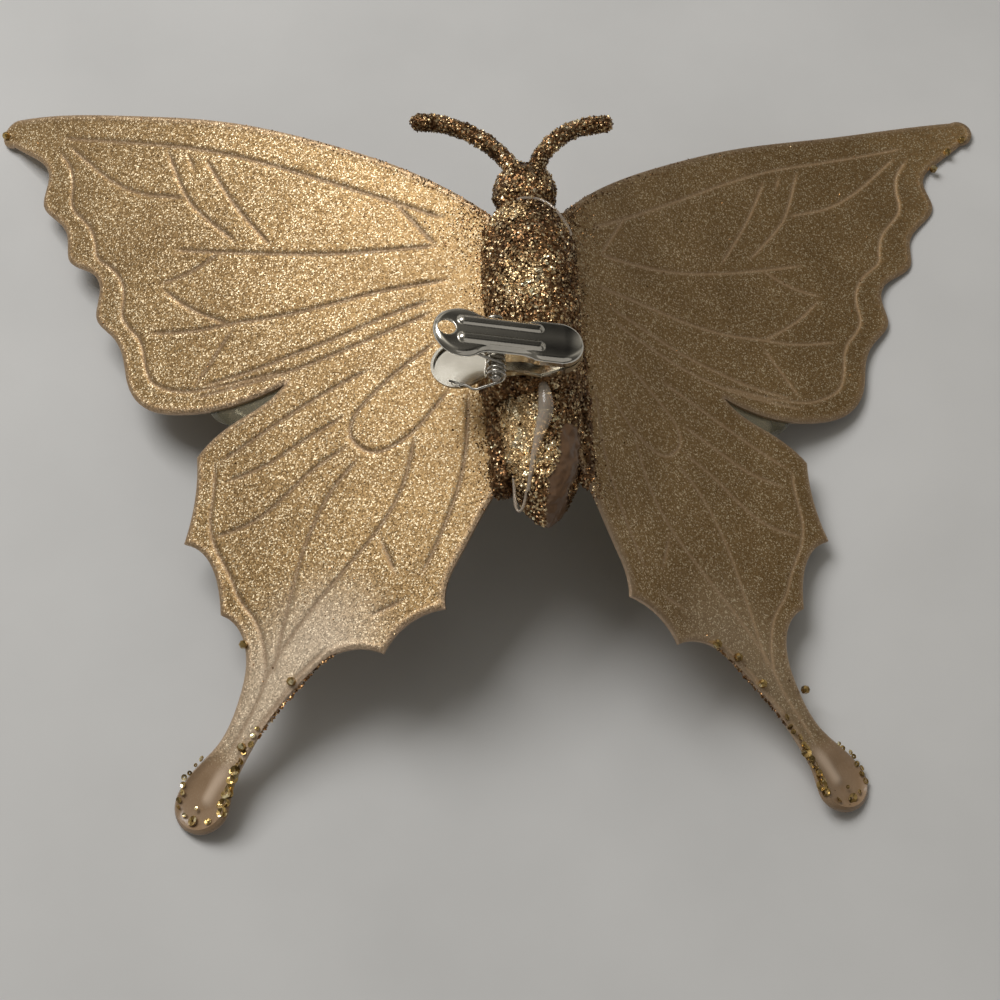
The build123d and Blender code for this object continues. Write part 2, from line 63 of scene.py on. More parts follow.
class Wing:
    """How one sheet of the pattern was bent and glued on. The values are the model's own, in mm."""

    length = 128.5
    thickness = 0.9
    root_offset = 10.5
    club_rest = (0.587, -0.733)

    def __init__(self, side, root_angle, tip_angle, turn, inset, fullness, rest, worn):
        self.side = side
        self.fullness = fullness
        self.worn = worn
        self.root_angle = math.radians(root_angle)
        self.curl = (math.radians(root_angle) - math.radians(tip_angle)) / self.length
        self.turn = math.radians(turn)
        self.inset = inset
        fore = self.glued(np.array([rest]) * self.length)[0]
        club = self.glued(np.array([self.club_rest]) * self.length)[0]
        self.pitch = (self.drop(fore[0]) - self.drop(club[0])) / (fore[1] - club[1])
        self.root_height = self.drop(fore[0]) - self.pitch * fore[1]

    def glued(self, flat):
        """Points of the flat pattern after the sheet's turn and inset."""
        c, s = math.cos(self.turn), math.sin(self.turn)
        out, ahead = flat[:, 0], flat[:, 1]
        return np.column_stack([out * c - ahead * s - self.inset, out * s + ahead * c])

    def drawn(self, flat):
        """Glued places of pattern points, moved with this sheet's fuller or flatter front edge."""
        flat = np.array(flat, float)
        bow = np.sin(math.pi * np.clip(flat[:, 0] / FRONT_LENGTH, 0, 1))
        share = np.clip(flat[:, 1] / FRONT_DEPTH, 0, 1)
        return self.glued(np.column_stack([flat[:, 0], flat[:, 1] + self.fullness * bow * share]))

    def angle(self, out):
        return self.root_angle - self.curl * out

    def drop(self, out):
        return (np.cos(self.angle(out)) - math.cos(self.root_angle)) / self.curl

    def reach(self, out):
        return self.root_offset + (math.sin(self.root_angle) - np.sin(self.angle(out))) / self.curl

    def place(self, glued, lift):
        """Points in the frame, in metres, for glued flat points and heights above the under face."""
        out, ahead = glued[:, 0], glued[:, 1]
        slope = self.angle(out)
        across = self.reach(out) + lift * np.sin(slope)
        height = self.root_height - self.drop(out) + lift * np.cos(slope) + self.pitch * ahead
        points = np.column_stack([self.side * across, ahead, height])
        return (points + np.array(BODY_MIDDLE)) * MM

    def facing(self, glued):
        """Directions out of the upper face."""
        slope = self.angle(glued[:, 0])
        return np.column_stack([self.side * np.sin(slope), np.full(len(glued), -self.pitch), np.cos(slope)])

    def flatten(self, plan, lift):
        """Glued flat points of places in the frame's plan, in metres, at a height above the under face."""
        across = np.abs(plan[:, 0] / MM - BODY_MIDDLE.x)
        ahead = plan[:, 1] / MM - BODY_MIDDLE.y
        out = across - self.root_offset
        for _ in range(FLATTEN_ROUNDS):
            out = out - (self.reach(out) + lift * np.sin(self.angle(out)) - across)
        return np.column_stack([out, ahead])


LEFT = Wing(side=-1, root_angle=18.2, tip_angle=35.3, turn=0.0, inset=0.0, fullness=-1.03,
            rest=(1.0, 0.645), worn=1.0)
RIGHT = Wing(side=1, root_angle=45.4, tip_angle=0.8, turn=-0.9, inset=1.1, fullness=3.47,
             rest=(0.890, 0.4615), worn=0.35)
WINGS = {"left": LEFT, "right": RIGHT}

# Veins drawn on the flat pattern: millimetres outwards from the root line and forwards of the middle
VEINS = [
    [(109, 73), (105.5, 68), (104.7, 63), (105.5, 57.5), (102.5, 53.5), (99, 49.5), (97.5, 44.5),
     (97.5, 41), (92.5, 37), (89.5, 32.5), (89, 28.5), (90, 24), (88, 20.5), (84, 16), (83, 8.5),
     (81, 4), (74.5, 0.5), (68, -1), (46.5, -1.7)],
    [(108, 76.5), (86.5, 68), (69, 61), (53.5, 53), (30, 39), (8, 26)],
    [(105.5, 73), (89, 55.5), (72.5, 49)],
    [(76.5, 62), (72, 49), (67.5, 43), (59, 34)],
    [(71, 59.5), (69.5, 55.5)],
    [(66, 56.5), (59, 43), (50, 30.5)],
    [(74.5, 36), (62.5, 32), (50, 28), (34, 23.5), (19, 21), (10, 19.7)],
    [(62.5, 32), (71, 29), (79, 28.7)],
    [(20, 34), (10, 20)],
    [(78, 27), (71, 20), (60, 13)],
    [(81.5, 17), (69.5, 14), (60, 13.5), (50, 12), (38, 11.5), (23, 12), (8, 11)],
    [(60, 11.5), (69.5, 0.5)],
    [(67, 0), (54.5, 0.3), (46.5, 1.5), (34.5, 3), (23, 5.5), (12, 7)],
    [(69.5, -2.3), (46.5, -2.4), (31, 0), (12, 4)],
    [(11, -3), (20, -7.7), (27.5, -13), (31, -16.5), (31.5, -20.5), (28.5, -24), (24.5, -25.5),
     (17.5, -23), (12, -18), (8.5, -14.5)],
    [(63, -19), (39, -9.5), (27, -6)],
    [(61.5, -24), (51, -22.5), (43, -19), (33, -15.5)],
    [(65, -36), (55, -35), (47, -30.5), (41, -26), (32.5, -22.5)],
    [(30, -26), (36.5, -31.5), (42.5, -41.5), (46, -52), (49, -62), (51, -69.5)],
    [(16.5, -23.5), (19.5, -34.5), (25.5, -42.5), (34, -50), (43.5, -58.5), (51.5, -67.5), (54.5, -74.0)],
    [(25, -44.5), (22, -52.5)],
    [(4, -16.5), (5.5, -32.5), (11, -45), (16, -53.5)],
    [(64.5, -19.5), (64.5, -24), (66.5, -35), (60.5, -46), (59, -51), (54.2, -57), (52.5, -64),
     (52.5, -69.9), (54.9, -74.8), (58.1, -79.1), (62, -84.5)],
    [(38.5, -66.1), (44.4, -69.7), (49.2, -74.8), (53.6, -78.7), (57.2, -82.3), (60.5, -86.5)],
    [(27.5, -60.5), (20.5, -58.5)],
]

# How the sheet is carved, in millimetres: grooves along the veins, an edge that is rolled down with a
# raised border beside it, and a dished spoon at the tail's end with the stem's ridge running into it
VEIN_DEPTH = 0.24
VEIN_FADE = 2.5
VEIN_END_LOSS = 0.6
RIM_DEPTH = 0.2
BORDER_INSET = 0.75
BORDER_RISE = 0.12
CLUB = [(69.0, -92.4)]
CLUB_DISH = 0.55
CLUB_RISE = 0.4
CLUB_RIDGE = [(53, -79), (59, -84), (64, -88.5), (67, -92.5)]
RIDGE_SHARE = 0.9
DEEPEST_SHARE = 0.7

# Distances from those lines, in pairs: all of the form within the first, none of it past the second
VEIN_SPREAD = (0.05, 0.65)
ROLL_SPREAD = (0.0, 0.75)
BORDER_SPREAD = (0.1, 0.8)
RIDGE_SPREAD = (0.2, 2.2)
DISH_SPREAD = (2.0, 6.8)
CLUB_RISE_SPREAD = (7.5, 11.0)

# The same for the colours of the veins, rim, lip and spoon, and of the glitter worn thin above the stem
VEIN_TINT_SPREAD = (0.05, 0.8)
RIM_TINT_SPREAD = (0.5, 1.9)
LIP_TINT_SPREAD = (0.0, 0.45)
CLUB_TINT_SPREAD = (6.5, 12.5)
WORN = [(40.0, -66.0), (50.0, -72.5), (54.0, -80.0)]
WORN_SPREAD = (1.0, 22.0)

# Where the sheet's corners lie: in rows beside the veins and the edge, and in a grid between them
VEIN_ROWS = (0.0, -0.28, 0.28, -0.65, 0.65)
VEIN_CLEAR = 0.95
RIM_ROWS = (0.3, 0.75, 1.2)
RIM_CLEAR = 1.5
POINT_GAP = 0.24
ROW_STEP = 0.5
GRID_STEP = 0.75
INSIDE_ONLY = 1
CDT_WELD = 1e-6

# Upright parts of face normals: more than the first faces up, less than the second faces sideways
UP_FACING = 0.4
SIDE_FACING = 0.3
MICRONS_PER_METRE = 1e6
WELD_GAP = 0.001

# Angles between faces, in degrees, past which an edge stays sharp
SHEET_SHARP = 50
METAL_SHARP = 35


def smoothed(points, rounds=3):
    """Corner-cut a line's points so that it runs as a curve."""
    line = np.array(points, float)
    for _ in range(rounds):
        near = line[:-1] * 0.75 + line[1:] * 0.25
        far = line[:-1] * 0.25 + line[1:] * 0.75
        cut = np.empty((2 * len(near), line.shape[1]))
        cut[0::2], cut[1::2] = near, far
        line = np.vstack([line[:1], cut, line[-1:]])
    return line


def evenly(line, step):
    """Points along a line, about step apart."""
    lengths = np.linalg.norm(np.diff(line, axis=0), axis=1)
    at = np.concatenate([[0], np.cumsum(lengths)])
    stops = np.linspace(0, at[-1], max(2, int(at[-1] / step) + 1))
    return np.column_stack([np.interp(stops, at, line[:, k]) for k in range(line.shape[1])])


def beside(line, offset):
    """Points along a flat line, moved to its left by offset."""
    spots = evenly(line, ROW_STEP)
    way = np.gradient(spots, axis=0)
    way /= np.maximum(np.linalg.norm(way, axis=1), 1e-9)[:, None]
    return spots + offset * np.column_stack([-way[:, 1], way[:, 0]])


def distance_to_line(points, line):
    best = np.full(len(points), 1e9)
    for start, end in zip(line[:-1], line[1:]):
        along = end - start
        share = np.clip(((points - start) @ along) / max(along @ along, 1e-12), 0, 1)
        gap = points - (start + share[:, None] * along)
        best = np.minimum(best, np.hypot(gap[:, 0], gap[:, 1]))
    return best


def step_down(distance, near, far):
    """1 inside near, 0 beyond far, smooth between."""
    share = np.clip((far - distance) / (far - near), 0, 1)
    return share * share * (3 - 2 * share)


def vein_share(points, veins, near, far):
    """How much of a vein there is at each point: less of it towards each vein's ends."""
    best = np.zeros(len(points))
    for vein in veins:
        to_ends = np.min([np.hypot(*(points - vein[end]).T) for end in (0, -1)], axis=0)
        fade = 1 - VEIN_END_LOSS * step_down(to_ends, 0.0, VEIN_FADE)
        best = np.maximum(best, step_down(distance_to_line(points, vein), near, far) * fade)
    return best


def top_outline(node):
    """The loop where the CAD sheet's upper face meets its edge, as places in plan."""
    mesh = node.data
    welded = {}
    place = []
    for vertex in mesh.vertices:
        key = tuple(round(value * MICRONS_PER_METRE) for value in vertex.co)
        place.append(welded.setdefault(key, vertex.index))
    sides = {}
    for face in mesh.polygons:
        corners = [place[i] for i in face.vertices]
        for i, corner in enumerate(corners):
            edge = frozenset((corner, corners[i - 1]))
            if len(edge) == 2:
                sides.setdefault(edge, []).append(face.normal.z)
    links = {}
    for edge, normals in sides.items():
        if len(normals) == 2 and max(normals) > UP_FACING and abs(min(normals)) < SIDE_FACING:
            a, b = tuple(edge)
            links.setdefault(a, []).append(b)
            links.setdefault(b, []).append(a)
    start = next(iter(links))
    loop = [start, links[start][0]]
    while True:
        onward = [k for k in links[loop[-1]] if k != loop[-2]]
        if not onward or onward[0] == start:
            break
        loop.append(onward[0])
    return np.array([mesh.vertices[i].co.xy[:] for i in loop])


def inside(points, loop):
    x, y = points[:, 0], points[:, 1]
    hits = np.zeros(len(points), bool)
    for (x0, y0), (x1, y1) in zip(loop, np.roll(loop, -1, axis=0)):
        if y1 != y0:
            hits ^= ((y0 > y) != (y1 > y)) & (x < (x1 - x0) * (y - y0) / (y1 - y0) + x0)
    return hits


def finer(loop, step):
    """The loop with no side longer than step."""
    points = []
    for start, end in zip(loop, np.roll(loop, -1, axis=0)):
        count = max(1, int(np.ceil(np.hypot(*(end - start)) / step)))
        points += [start + (end - start) * i / count for i in range(count)]
    return np.array(points)


def thinned(points, gap):
    """The points in turn, without those that lie closer than gap to an earlier one."""
    cells = {}
    kept = []
    for x, y in points:
        column, row = int(x // gap), int(y // gap)
        around = [(column + i, row + j) for i in (-1, 0, 1) for j in (-1, 0, 1)]
        near = [other for key in around for other in cells.get(key, ())]
        if all((x - a) ** 2 + (y - b) ** 2 >= gap * gap for a, b in near):
            cells.setdefault((column, row), []).append((x, y))
            kept.append((x, y))
    return np.array(kept)


def sheet_points(loop, veins):
    """Places for the sheet's corners: in rows along the edge and the veins, in a grid elsewhere."""
    closed = np.vstack([loop, loop[:1]])
    area = np.sum(closed[:-1, 0] * closed[1:, 1] - closed[1:, 0] * closed[:-1, 1])
    inward = 1 if area > 0 else -1
    rim = np.vstack([beside(closed, inward * offset) for offset in RIM_ROWS])
    rows = np.vstack([beside(vein, offset) for offset in VEIN_ROWS for vein in veins])
    low, high = loop.min(0), loop.max(0)
    xs = np.arange(low[0], high[0], GRID_STEP)
    ys = np.arange(low[1], high[1], GRID_STEP * math.sqrt(3) / 2)
    grid = np.array([(x + (k % 2) * GRID_STEP / 2, y) for k, y in enumerate(ys) for x in xs])
    grid = grid[inside(grid, loop)]
    grid = grid[distance_to_line(grid, closed) > RIM_CLEAR]
    for vein in veins:
        grid = grid[distance_to_line(grid, vein) > VEIN_CLEAR]
    rim = rim[inside(rim, loop)]
    rows = rows[inside(rows, loop)]
    near = np.vstack([rim[distance_to_line(rim, closed) > RIM_ROWS[0] * 0.9],
                      rows[distance_to_line(rows, closed) > RIM_ROWS[0]]])
    return np.vstack([loop, thinned(near, POINT_GAP), grid]), closed


def linked(name, data):
    """A new object of the scene with a mesh, a lamp or a camera."""
    thing = bpy.data.objects.new(name, data)
    bpy.context.scene.collection.objects.link(thing)
    return thing


def new_mesh_object(name, vertices, faces):
    mesh = bpy.data.meshes.new(name)
    mesh.from_pydata([tuple(v) for v in vertices], [], [tuple(f) for f in faces])
    mesh.update()
    return linked(name, mesh)


def copied(name, node):
    """A piece with a CAD node's form, its doubled corners joined."""
    form = bmesh.new()
    form.from_mesh(node.data)
    bmesh.ops.remove_doubles(form, verts=form.verts, dist=WELD_GAP * MM)
    mesh = bpy.data.meshes.new(name)
    form.to_mesh(mesh)
    form.free()
    return linked(name, mesh)


def remeshed(name, node, voxel, smoothing):
    """A piece with a node's form in fine, even faces, a little smoothed."""
    rough = new_mesh_object(name + "_rough", [v.co for v in node.data.vertices],
                            [p.vertices for p in node.data.polygons])
    remesh = rough.modifiers.new("voxels", "REMESH")
    remesh.mode = "VOXEL"
    remesh.voxel_size = voxel * MM
    rough.modifiers.new("smooth", "SMOOTH").iterations = smoothing
    graph = bpy.context.evaluated_depsgraph_get()
    mesh = bpy.data.meshes.new_from_object(rough.evaluated_get(graph))
    mesh.name = name
    bpy.data.objects.remove(rough)
    return linked(name, mesh)


def shade(mesh, degrees):
    """Smooth shading, with sharp edges where faces meet at more than an angle."""
    mesh.shade_smooth()
    mesh.set_sharp_from_angle(angle=math.radians(degrees))


def add_marks(mesh, marks):
    for label, values in marks.items():
        attribute = mesh.attributes.new(label, "FLOAT", "POINT")
        attribute.data.foreach_set("value", np.asarray(values, np.float32))


def wing_piece(name, wing, node):
    """The sheet with its veins, its rolled edge and its spoon, on the CAD sheet's own outline."""
    veins = [wing.drawn(smoothed(vein)) for vein in VEINS]
    loop = finer(wing.flatten(top_outline(node), wing.thickness), ROW_STEP)
    points, closed = sheet_points(loop, veins)
    ring = list(range(len(loop)))
    found = delaunay_2d_cdt([Vector(p) for p in points], [], [ring], INSIDE_ONLY, CDT_WELD)
    flat = np.array([v[:] for v in found[0]])
    from_edge = distance_to_line(flat, closed)
    from_club = np.linalg.norm(flat - wing.drawn(CLUB), axis=1)
    ridge = step_down(distance_to_line(flat, wing.drawn(smoothed(CLUB_RIDGE))), *RIDGE_SPREAD)
    hollow = vein_share(flat, veins, *VEIN_SPREAD)
    dish = step_down(from_club, *DISH_SPREAD) * (1 - RIDGE_SHARE * ridge)
    sunk = VEIN_DEPTH * hollow + RIM_DEPTH * step_down(from_edge, *ROLL_SPREAD) + CLUB_DISH * dish
    border = step_down(np.abs(from_edge - BORDER_INSET), *BORDER_SPREAD)
    raised = border * (BORDER_RISE + CLUB_RISE * step_down(from_club, *CLUB_RISE_SPREAD))
    top = wing.place(flat, wing.thickness + raised - np.minimum(sunk, DEEPEST_SHARE * wing.thickness))
    under = wing.place(flat, VEIN_DEPTH / 2 * hollow)
    count = len(flat)
    merged = {old: new for new, olds in enumerate(found[3]) for old in olds}
    edge = [merged[i] for i in ring]
    faces = []
    for face in found[2]:
        a, b, c = (Vector(top[i]) for i in face)
        up = list(face) if (b - a).cross(c - a).z > 0 else list(face)[::-1]
        faces += [up, [i + count for i in up[::-1]]]
    turn = 1 if wing.side * (closed[:-1, 0] @ closed[1:, 1] - closed[1:, 0] @ closed[:-1, 1]) > 0 else -1
    for i, a in enumerate(edge):
        b = edge[(i + 1) % len(edge)]
        side = [a, a + count, b + count, b]
        faces.append(side if turn > 0 else side[::-1])
    piece = new_mesh_object(name, np.vstack([top, under]), faces)
    club = step_down(from_club, *CLUB_TINT_SPREAD)
    worn = wing.worn * step_down(distance_to_line(flat, wing.drawn(WORN)), *WORN_SPREAD)
    marks = {
        "vein": vein_share(flat, veins, *VEIN_TINT_SPREAD),
        "rim": step_down(from_edge, *RIM_TINT_SPREAD),
        "lip": step_down(from_edge, *LIP_TINT_SPREAD),
        "club": club,
        "worn": worn * (1 - club),
        # A painted highlight along the stem's ridge where it runs into the spoon
        "painted_ridge_highlight": ridge * club,
    }
    add_marks(piece.data, {label: np.concatenate([values, values]) for label, values in marks.items()})
    shade(piece.data, SHEET_SHARP)
    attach(piece, "ornament")
    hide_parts(node.name)
    return piece


# The sockets of a colour mix node: the share and the two colours in, and the colour out
MIX_INPUTS = (0, 6, 7)
MIX_OUTPUT = 2


def grey(level):
    return (level, level, level)


class Nodes:
    """A short way to write the node tree of a material or of the world."""

    def __init__(self, owner, shader="Principled BSDF"):
        owner.use_nodes = True
        self.owner = owner
        self.tree = owner.node_tree
        self.shader = self.tree.nodes[shader]

    def add(self, kind, **settings):
        node = self.tree.nodes.new(kind)
        for key, value in settings.items():
            if key in node.inputs:
                node.inputs[key].default_value = value
            else:
                setattr(node, key, value)
        return node

    def link(self, source, target):
        self.tree.links.new(source, target)

    def feed(self, target, value):
        """Set an input to a number or a colour, or link another node's output to it."""
        if isinstance(value, (int, float)):
            target.default_value = value
        elif isinstance(value, tuple):
            target.default_value = (*value, 1.0)
        else:
            self.link(value, target)

    def place(self):
        return self.add("ShaderNodeTexCoord").outputs["Object"]

    def ramp(self, source, stops):
        node = self.add("ShaderNodeValToRGB")
        elements = node.color_ramp.elements
        while len(elements) < len(stops):
            elements.new(0.5)
        for element, (at, colour) in zip(elements, stops):
            element.position = at
            element.color = (*colour, 1.0)
        self.link(source, node.inputs["Fac"])
        return node.outputs["Color"]

    def cells(self, scale):
        node = self.add("ShaderNodeTexVoronoi", Scale=scale)
        self.link(self.place(), node.inputs["Vector"])
        return node

    def noise(self, scale, detail=3.0):
        node = self.add("ShaderNodeTexNoise", Scale=scale, Detail=detail)
        self.link(self.place(), node.inputs["Vector"])
        return node.outputs["Fac"]

    def maths(self, kind, *values):
        node = self.add("ShaderNodeMath", operation=kind)
        for slot, value in enumerate(values):
            self.feed(node.inputs[slot], value)
        return node.outputs[0]

    def mix(self, share, first, second, kind="MIX"):
        node = self.add("ShaderNodeMix", data_type="RGBA", blend_type=kind)
        for slot, value in zip(MIX_INPUTS, (share, first, second)):
            self.feed(node.inputs[slot], value)
        return node.outputs[MIX_OUTPUT]

    def attribute(self, name):
        return self.add("ShaderNodeAttribute", attribute_name=name).outputs["Fac"]

    def part(self, mark, amount):
        """An attribute of the mesh, times an amount."""
        return self.maths("MULTIPLY", self.attribute(mark), amount)

    def parted(self, cells):
        """The three random values of each cell."""
        node = self.add("ShaderNodeSeparateColor")
        self.link(cells.outputs["Color"], node.inputs[0])
        return node.outputs

    def flake_normal(self, cells, tilt):
        """Tilts the surface of each flake its own way, so that some of them catch the light."""
        centred = self.add("ShaderNodeVectorMath", operation="SUBTRACT")
        self.link(cells.outputs["Color"], centred.inputs[0])
        centred.inputs[1].default_value = grey(0.5)
        scaled = self.add("ShaderNodeVectorMath", operation="SCALE")
        self.link(centred.outputs[0], scaled.inputs[0])
        self.feed(scaled.inputs["Scale"], tilt)
        added = self.add("ShaderNodeVectorMath", operation="ADD")
        self.link(self.add("ShaderNodeNewGeometry").outputs["Normal"], added.inputs[0])
        self.link(scaled.outputs[0], added.inputs[1])
        unit = self.add("ShaderNodeVectorMath", operation="NORMALIZE")
        self.link(added.outputs[0], unit.inputs[0])
        self.link(unit.outputs[0], self.shader.inputs["Normal"])

    def bump(self, height, strength, distance):
        """Raises and sinks the shading by a height, over a distance in metres."""
        node = self.add("ShaderNodeBump", Strength=strength, Distance=distance)
        self.link(height, node.inputs["Height"])
        self.link(node.outputs[0], self.shader.inputs["Normal"])

    def set(self, **values):
        for key, value in values.items():
            self.shader.inputs[key.replace("_", " ")].default_value = value


# Looks. Cells and clouds are counts in a metre, and tones run from the darkest flakes to the brightest.
SHEET_CELLS = 4000.0
SHEET_CLOUDS = 55.0
SHEET_METAL = 0.85
SHEET_TILT = 0.30
CLUB_TILT_LOSS = 0.26
CRUST_CELLS = 2200.0
CRUST_CLOUDS = 160.0
CRUST_TILT = 1.2
CHIP_CELLS = 900.0
DRAWN_STRETCH = (0.15, 1.0, 1.0)
DRAWN_MARKS = 2500.0
HAZE_CLOUDS = 180.0
HAZE_ROUGHNESS = 0.12
HAZE_SHADE = 0.86
SKIN_SHADE = 0.85
CHAMPAGNE_TONES = ((0.22, 0.130, 0.053), (0.36, 0.236, 0.106), (0.84, 0.71, 0.49))
BRONZE_TONES = ((0.045, 0.02, 0.009), (0.25, 0.135, 0.06), (1.0, 0.82, 0.52))
GOLD_TONES = ((0.52, 0.34, 0.15), (0.90, 0.68, 0.38), (1.0, 0.88, 0.62))
FLAKE_TONES = ((0.10, 0.045, 0.018), (0.44, 0.25, 0.11), (0.95, 0.75, 0.46))
TRIM_TONES = ((0.24, 0.15, 0.045), (0.62, 0.44, 0.17), (1.0, 0.88, 0.55))
WORN_TONE = (0.76, 0.64, 0.50)
# Painted highlight along the spoon's ridge
PAINTED_RIDGE_HIGHLIGHT_TONE = (0.60, 0.46, 0.34)
RIM_TONE = (0.50, 0.36, 0.24)
LIP_TONE = (0.52, 0.39, 0.28)
# Vein tones: the veins are dull, without glitter. The shaded right wing's veins are paler than the lit left
# wing's, as a painted highlight where the grooves' edges catch light.
LIT_VEIN = (0.29, 0.185, 0.105)
SHADED_WING_PAINTED_VEIN_HIGHLIGHT = (0.44, 0.30, 0.18)
# Bare plastic of the spoons, kept dark as painted shade in the dish
BARE_PLASTIC_AND_DISH_SHADE = (0.30, 0.200, 0.120)
BARE_BODY = (0.17, 0.095, 0.05)


def glitter_sheet(name, vein_tone):
    """Fine champagne glitter on a plastic sheet: pale on the rim, and bare in the spoons, with painted shade
    in the dish and a painted highlight along the ridge.
    """
    m = Nodes(bpy.data.materials.new(name))
    dark, body, bright = CHAMPAGNE_TONES
    cells = m.cells(SHEET_CELLS)
    chance = m.parted(cells)
    stops = [(0.0, dark), (0.35, body), (0.8, body), (0.95, bright), (1.0, bright)]
    colour = m.ramp(chance[0], stops)
    cloud = m.ramp(m.noise(SHEET_CLOUDS, 6.0), [(0.3, (0.80, 0.78, 0.76)), (0.7, grey(1.12))])
    colour = m.mix(0.8, colour, cloud, "MULTIPLY")
    # The vein tone passed for the shaded wing is a painted highlight on the grooves' edges.
    for mark, share, tone in (("worn", 0.60, WORN_TONE), ("rim", 0.45, RIM_TONE), ("vein", 0.62, vein_tone),
                              ("lip", 0.70, LIP_TONE), ("club", 0.95, BARE_PLASTIC_AND_DISH_SHADE),
                              ("painted_ridge_highlight", 0.85, PAINTED_RIDGE_HIGHLIGHT_TONE)):
        colour = m.mix(m.part(mark, share), colour, tone)
    m.link(colour, m.shader.inputs["Base Color"])
    metal = SHEET_METAL
    for mark, loss in (("club", SHEET_METAL), ("vein", 0.45), ("worn", 0.35)):
        metal = m.maths("SUBTRACT", metal, m.part(mark, loss))
    m.link(m.maths("MAXIMUM", metal, 0.0), m.shader.inputs["Metallic"])
    rough = m.ramp(chance[1], [(0.0, grey(0.36)), (1.0, grey(0.62))])
    rough = m.mix(m.attribute("club"), rough, grey(0.26))
    m.link(rough, m.shader.inputs["Roughness"])
    m.flake_normal(cells, m.maths("SUBTRACT", SHEET_TILT, m.part("club", CLUB_TILT_LOSS)))
    return m.owner


def coarse_glitter(name, tones, scale, tilt, bare=None, metallic=0.9, roughness=0.3):
    """Loose glitter in glue: bigger flakes, more of them turned to the light, some places bare."""
    m = Nodes(bpy.data.materials.new(name))
    dark, body, bright = tones
    cells = m.cells(scale)
    stops = [(0.0, dark), (0.4, body), (0.8, body), (0.92, bright), (1.0, bright)]
    colour = m.ramp(m.parted(cells)[0], stops)
    cloud = m.ramp(m.noise(CRUST_CLOUDS, 5.0), [(0.36, (0.45, 0.40, 0.36)), (0.62, grey(1.15))])
    colour = m.mix(0.85, colour, cloud, "MULTIPLY")
    if bare is None:
        m.set(Metallic=metallic)
        m.flake_normal(cells, tilt)
    else:
        colour = m.mix(m.attribute("bare"), colour, bare)
        m.link(m.maths("SUBTRACT", metallic, m.part("bare", metallic)), m.shader.inputs["Metallic"])
        m.flake_normal(cells, m.maths("SUBTRACT", tilt, m.part("bare", tilt)))
    m.link(colour, m.shader.inputs["Base Color"])
    m.set(Roughness=roughness)
    return m.owner


def polished_steel(name, colour, roughness):
    """Stamped steel with faint drawing marks and finger haze."""
    m = Nodes(bpy.data.materials.new(name))
    stretch = m.add("ShaderNodeMapping", Scale=DRAWN_STRETCH)
    m.link(m.place(), stretch.inputs["Vector"])
    marks = m.add("ShaderNodeTexNoise", Scale=DRAWN_MARKS, Detail=3.0)
    m.link(stretch.outputs[0], marks.inputs["Vector"])
    haze = m.noise(HAZE_CLOUDS, 4.0)
    rough = m.maths("ADD", roughness, m.maths("MULTIPLY", haze, HAZE_ROUGHNESS))
    m.link(rough, m.shader.inputs["Roughness"])
    tint = m.ramp(haze, [(0.3, tuple(HAZE_SHADE * c for c in colour)), (0.7, colour)])
    m.link(tint, m.shader.inputs["Base Color"])
    m.bump(marks.outputs["Fac"], 0.10, 0.00003)
    m.set(Metallic=1.0)
    return m.owner


def clear_plastic(name, colour, transmission, roughness, scale):
    """Hot glue or film: see-through, with a slightly uneven skin."""
    m = Nodes(bpy.data.materials.new(name))
    skin = m.noise(scale, 3.0)
    tint = m.ramp(skin, [(0.3, tuple(SKIN_SHADE * c for c in colour)), (0.7, colour)])
    m.link(tint, m.shader.inputs["Base Color"])
    m.bump(skin, 0.35, 0.0003)
    m.set(Roughness=roughness, IOR=1.48, Transmission_Weight=transmission)
    return m.owner


def dress(piece, material):
    piece.data.materials.clear()
    piece.data.materials.append(material)


# Lumps of the glitter glue: a second set of them is finer and lower by these factors
CRUST_SMOOTHING = 4
FINE_GRAIN = 2.7
FINE_SHARE = 0.5


def crusted(name, node_name, voxel, swell, grain, seed, grow, reshape=None):
    """A node's form in lumpy glitter glue: pushed in and out a little by swell, and out by grow, in mm."""
    piece = remeshed(name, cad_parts[node_name], voxel, CRUST_SMOOTHING)
    mesh = piece.data
    shift = Vector((seed, 0.0, 0.0))
    normals = [v.normal.copy() for v in mesh.vertices]
    for vertex, normal in zip(mesh.vertices, normals):
        fine = noise.noise(vertex.co * grain * FINE_GRAIN + shift)
        lump = noise.noise(vertex.co * grain + shift) + FINE_SHARE * fine
        vertex.co += normal * (lump * swell + grow) * MM
        if reshape:
            vertex.co = (reshape(vertex.co / MM - BODY_MIDDLE) + BODY_MIDDLE) * MM
    mesh.update()
    mesh.shade_smooth()
    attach(piece, "ornament")
    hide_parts(node_name)
    return piece


# The finger plate: its hole's place, its direction and how far its long edges curve down, in mm
PLATE_HOLE = Vector((-20.729, -8.347, 67.907))
PLATE_UP = Vector((0.177, 0.097, 0.979))
PLATE_ALONG = Vector((0.999, -0.035, 0.0))
PLATE_HALF_WIDTH = 5.5
PLATE_CROWN = 0.6
PLATE_FADE = 1.6
PLATE_VOXEL = 0.12
PLATE_SMOOTHING = 6


